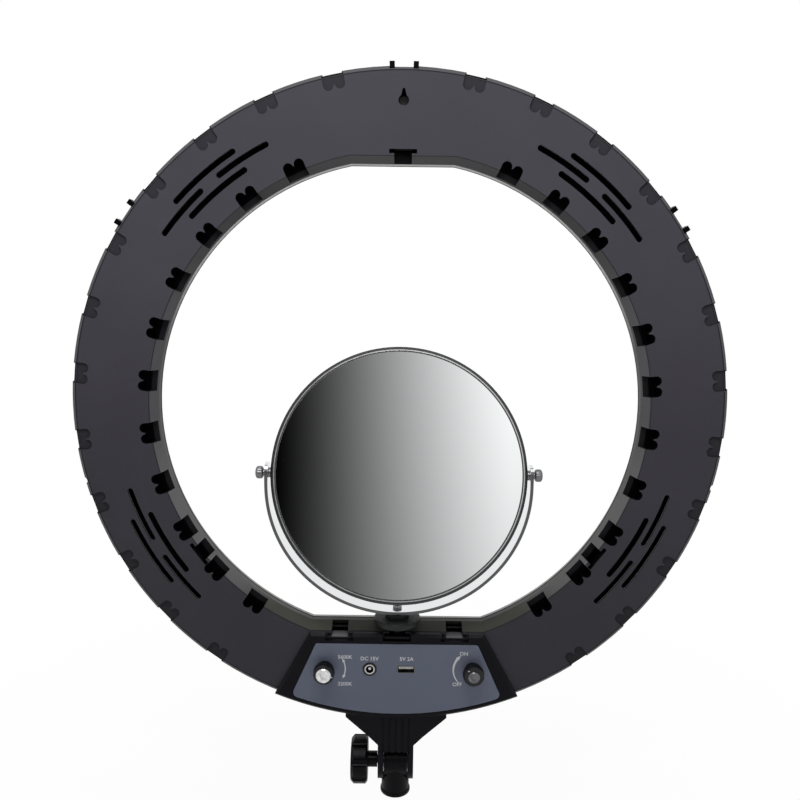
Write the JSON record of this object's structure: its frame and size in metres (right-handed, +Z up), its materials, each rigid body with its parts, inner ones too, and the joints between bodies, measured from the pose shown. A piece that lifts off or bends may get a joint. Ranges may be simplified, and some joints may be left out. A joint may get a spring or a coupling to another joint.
{
  "type": "led ring light",
  "caption": "Large LED ring light with a rear control panel, accessory shoes, a tilting stand neck and a round vanity mirror on a swivelling yoke.",
  "frame": {"origin": "mouth of the stand socket, on the socket's axis", "axes": "+Z up through the neck and the ring, -Y the back with the controls, +Y the side the light leaves by"},
  "size_m": [0.48, 0.0595, 0.5526],
  "materials": {
    "shell_plastic": "fine satin texture",
    "black_plastic": "satin",
    "bezel_plastic": "satin",
    "panel_metal": "satin grey",
    "diffuser_plastic": "milky",
    "board_laminate": "white solder mask",
    "driver_laminate": "green solder mask",
    "warm_phosphor": "warm phosphor",
    "white_phosphor": "cool phosphor",
    "component_black": "gloss",
    "steel": "plain",
    "black_metal": "satin black",
    "knob_plastic": "satin",
    "cap_metal": "turned",
    "brass": "plain",
    "contact_plastic": "satin",
    "chrome": "polished",
    "mirror": "silvered",
    "core_board": "plain",
    "washer_plastic": "plain"
  },
  "bodies": {
    "stand": {"stand_adapter": "black_metal", "friction_washers": "washer_plastic"},
    "stand_lock": {"lock_screw": "steel", "lock_knob": "knob_plastic"},
    "head": {"rear_shell": "shell_plastic", "inner_bezel": "bezel_plastic", "front_diffuser": "diffuser_plastic", "led_board": "board_laminate", "warm_leds": "warm_phosphor", "white_leds": "white_phosphor", "board_screws": "steel", "shoe_plate_left": "steel", "shoe_plate_centre": "steel", "shoe_plate_right": "steel", "shoe_plate_top": "steel", "shoe_plate_side_left": "steel", "shoe_plate_side_right": "steel", "control_housing": "black_plastic", "control_panel": "panel_metal", "driver_board": "driver_laminate", "driver_parts": "component_black", "colour_pot": "steel", "colour_nut": "steel", "dimmer_pot": "steel", "dimmer_nut": "steel", "dc_jack": "component_black", "dc_pin": "brass", "usb_port": "steel", "usb_tongue": "contact_plastic", "neck_bracket": "black_plastic", "neck_screws": "steel", "tilt_nut": "steel"},
    "tilt_clamp": {"tilt_bolt": "steel", "tilt_knob": "knob_plastic"},
    "colour_control": {"colour_shaft": "steel", "colour_knob": "knob_plastic", "colour_cap": "cap_metal"},
    "dimmer_control": {"dimmer_shaft": "steel", "dimmer_knob": "knob_plastic", "dimmer_cap": "cap_metal"},
    "mirror_carriage": {"mirror_foot": "chrome"},
    "clamp_wheel": {"lock_wheel": "chrome"},
    "yoke": {"mirror_base": "chrome", "mirror_yoke": "chrome", "yoke_screw": "steel"},
    "mirror": {"mirror_frame": "chrome", "mirror_core": "core_board", "mirror_glass_plain": "mirror", "mirror_glass_magnifying": "mirror", "pivot_knob_left": "chrome", "pivot_knob_right": "chrome", "pivot_washers": "washer_plastic"}
  },
  "joints": [
    {"name": "ring_tilt", "type": "hinge", "parent": "stand", "child": "head", "pos_m": [0, 0, 0.0255], "axis": [1, 0, 0], "range_deg": [-90, 90]},
    {"name": "tilt_clamp_turn", "type": "hinge", "parent": "head", "child": "tilt_clamp", "pos_m": [0, 0, 0.0255], "axis": [1, 0, 0], "continuous": true},
    {"name": "stand_lock_turn", "type": "hinge", "parent": "stand", "child": "stand_lock", "pos_m": [0, 0.012, 0.0054], "axis": [0, 1, 0], "continuous": true},
    {"name": "colour_turn", "type": "hinge", "parent": "head", "child": "colour_control", "pos_m": [-0.0547, -0.02, 0.1111], "axis": [0, -1, 0], "range_deg": [-150, 150]},
    {"name": "dimmer_turn", "type": "hinge", "parent": "head", "child": "dimmer_control", "pos_m": [0.058, -0.02, 0.1111], "axis": [0, -1, 0], "range_deg": [-100, 200]},
    {"name": "mirror_slide", "type": "slide", "parent": "head", "child": "mirror_carriage", "axis": [0, -1, 0], "range_m": [0, 0.03]},
    {"name": "clamp_wheel_turn", "type": "hinge", "parent": "mirror_carriage", "child": "clamp_wheel", "pos_m": [0, -0.007, 0.146], "axis": [0, 0, 1], "continuous": true},
    {"name": "yoke_swivel", "type": "hinge", "parent": "mirror_carriage", "child": "yoke", "pos_m": [0, -0.007, 0.151], "axis": [0, 0, 1], "continuous": true},
    {"name": "mirror_tilt", "type": "hinge", "parent": "yoke", "child": "mirror", "pos_m": [0, -0.007, 0.2612], "axis": [1, 0, 0], "continuous": true}
  ]
}
